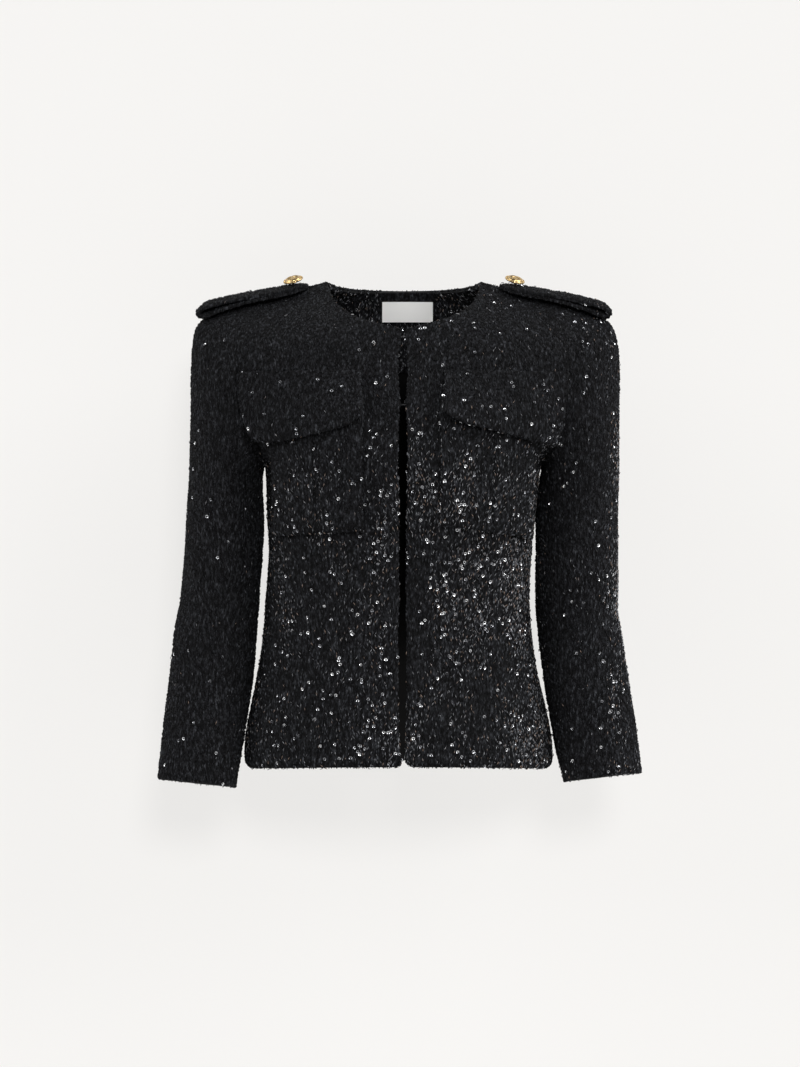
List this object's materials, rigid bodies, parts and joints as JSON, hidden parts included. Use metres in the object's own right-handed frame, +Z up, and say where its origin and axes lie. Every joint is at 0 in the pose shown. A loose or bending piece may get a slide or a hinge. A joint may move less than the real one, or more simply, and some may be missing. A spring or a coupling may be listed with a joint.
{
  "type": "tweed jacket",
  "caption": "Collarless fitted tweed jacket with an edge-to-edge front, flapped chest pockets, shoulder straps and long sleeves, hollow and filled out as worn.",
  "frame": {"origin": "midway between the two neck points of the shoulder seams, where the wearer's shoulders hold the jacket up", "axes": "+Z up, the front faces -Y, +X towards the wearer's left"},
  "size_m": [0.527, 0.2434, 0.5626],
  "materials": {
    "tweed": "black boucle tweed with sequins and a little metallic yarn",
    "gold_metal": null,
    "label_cloth": "white woven label, blank",
    "black_metal": "dark enamelled wire"
  },
  "bodies": {
    "root": {"front_right": "tweed", "front_left": "tweed", "back": "tweed", "back_neck_facing": "tweed", "sleeve_right_upper": "tweed", "sleeve_right_under": "tweed", "sleeve_left_upper": "tweed", "sleeve_left_under": "tweed", "pocket_right": "tweed", "pocket_left": "tweed", "flap_right": "tweed", "flap_left": "tweed", "strap_right": "tweed", "strap_left": "tweed", "strap_button_right": "gold_metal", "strap_button_left": "gold_metal", "neck_label": "label_cloth", "front_hook_upper": "black_metal", "front_hook_lower": "black_metal"}
  },
  "joints": []
}
